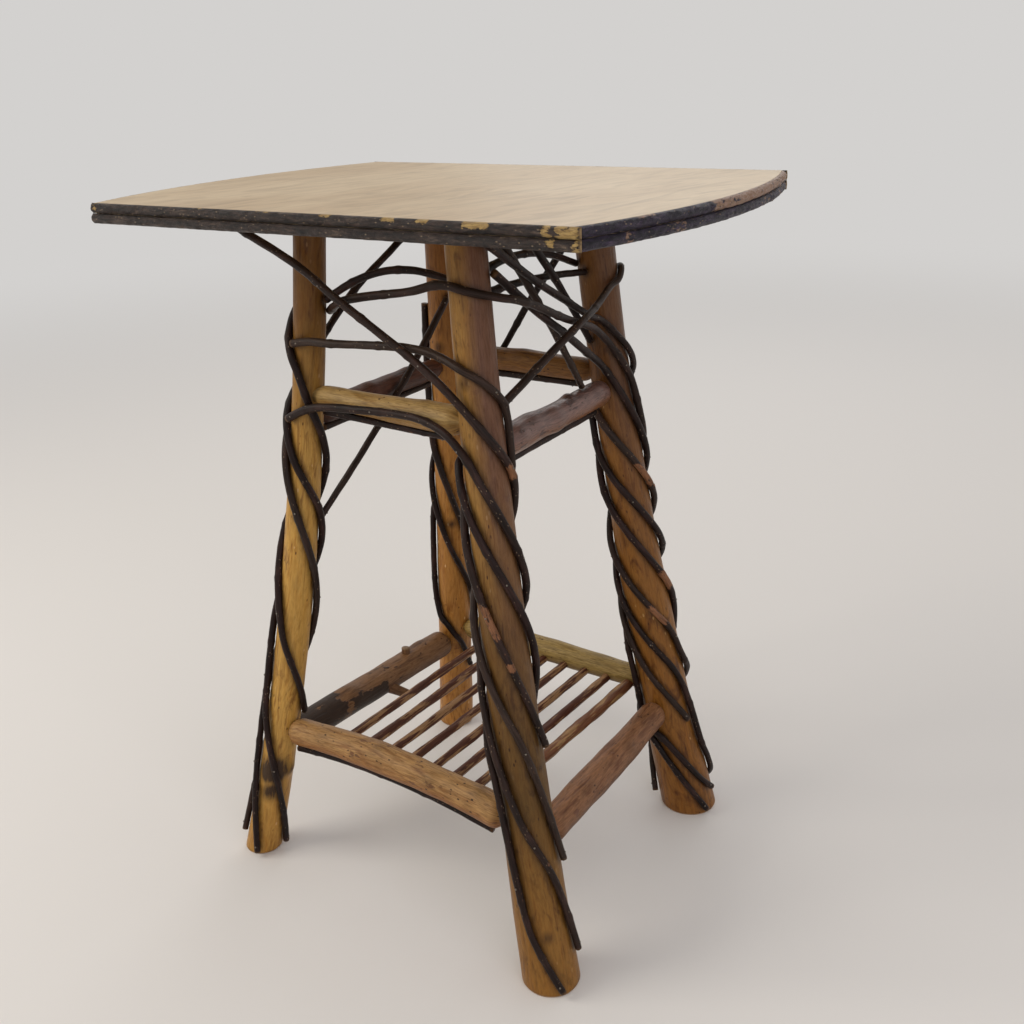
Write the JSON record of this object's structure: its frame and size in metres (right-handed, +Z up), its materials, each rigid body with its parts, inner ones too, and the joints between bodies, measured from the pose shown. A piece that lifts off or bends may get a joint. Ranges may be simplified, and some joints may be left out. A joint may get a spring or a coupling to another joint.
{
  "type": "rustic side table",
  "caption": "Small rustic table with leaning sapling legs wound with twigs, round stretchers, a slatted shelf and a bowed-ended top edged in bark.",
  "frame": {"origin": "on the floor under the middle of the top", "axes": "+Z up, +X along the top's long straight edges, -Y towards its front edge"},
  "size_m": [0.564, 0.424, 0.705],
  "materials": {
    "varnished_legs": "peeled sapling under amber varnish, satin",
    "bark_edging": "dark brown bark left on split sapling strips, rubbed through in places",
    "peeled_stretchers": "peeled branch under varnish, satin",
    "whittled_slats": "branches half whittled, reddish bark left in strips",
    "veneered_board": "pale varnished plywood, satin",
    "twig_bark": "thin twigs with their dark bark left on"
  },
  "bodies": {
    "root": {"leg_back_left": "varnished_legs", "leg_back_right": "varnished_legs", "leg_front_left": "varnished_legs", "leg_front_right": "varnished_legs", "lower_edging_back": "bark_edging", "lower_edging_front": "bark_edging", "lower_edging_left": "bark_edging", "lower_edging_right": "bark_edging", "lower_stretcher_back": "peeled_stretchers", "lower_stretcher_front": "peeled_stretchers", "lower_stretcher_left": "peeled_stretchers", "lower_stretcher_right": "peeled_stretchers", "shelf_slat_1": "whittled_slats", "shelf_slat_2": "whittled_slats", "shelf_slat_3": "whittled_slats", "shelf_slat_4": "whittled_slats", "shelf_slat_5": "whittled_slats", "shelf_slat_6": "whittled_slats", "shelf_slat_7": "whittled_slats", "shelf_slat_8": "whittled_slats", "tabletop": "veneered_board", "twig_back_a": "twig_bark", "twig_back_left_a": "twig_bark", "twig_back_left_b": "twig_bark", "twig_back_right_a": "twig_bark", "twig_back_right_b": "twig_bark", "twig_back_right_c": "twig_bark", "twig_front_a": "twig_bark", "twig_front_arch": "twig_bark", "twig_front_b": "twig_bark", "twig_front_c": "twig_bark", "twig_front_left_a": "twig_bark", "twig_front_left_b": "twig_bark", "twig_front_left_c": "twig_bark", "twig_front_right_a": "twig_bark", "twig_front_right_b": "twig_bark", "twig_left_a": "twig_bark", "twig_left_b": "twig_bark", "twig_right_a": "twig_bark", "twig_right_arch": "twig_bark", "twig_right_b": "twig_bark", "twig_right_bar": "twig_bark", "twig_right_c": "twig_bark", "twig_right_d": "twig_bark", "twig_right_e": "twig_bark", "twig_right_f": "twig_bark", "under_twig_lower_front": "twig_bark", "under_twig_lower_right": "twig_bark", "under_twig_upper_back": "twig_bark", "under_twig_upper_front": "twig_bark", "under_twig_upper_left": "twig_bark", "under_twig_upper_right": "twig_bark", "upper_edging_back": "bark_edging", "upper_edging_front": "bark_edging", "upper_edging_left": "bark_edging", "upper_edging_right": "bark_edging", "upper_stretcher_back": "peeled_stretchers", "upper_stretcher_front": "peeled_stretchers", "upper_stretcher_left": "peeled_stretchers", "upper_stretcher_right": "peeled_stretchers"}
  },
  "joints": []
}
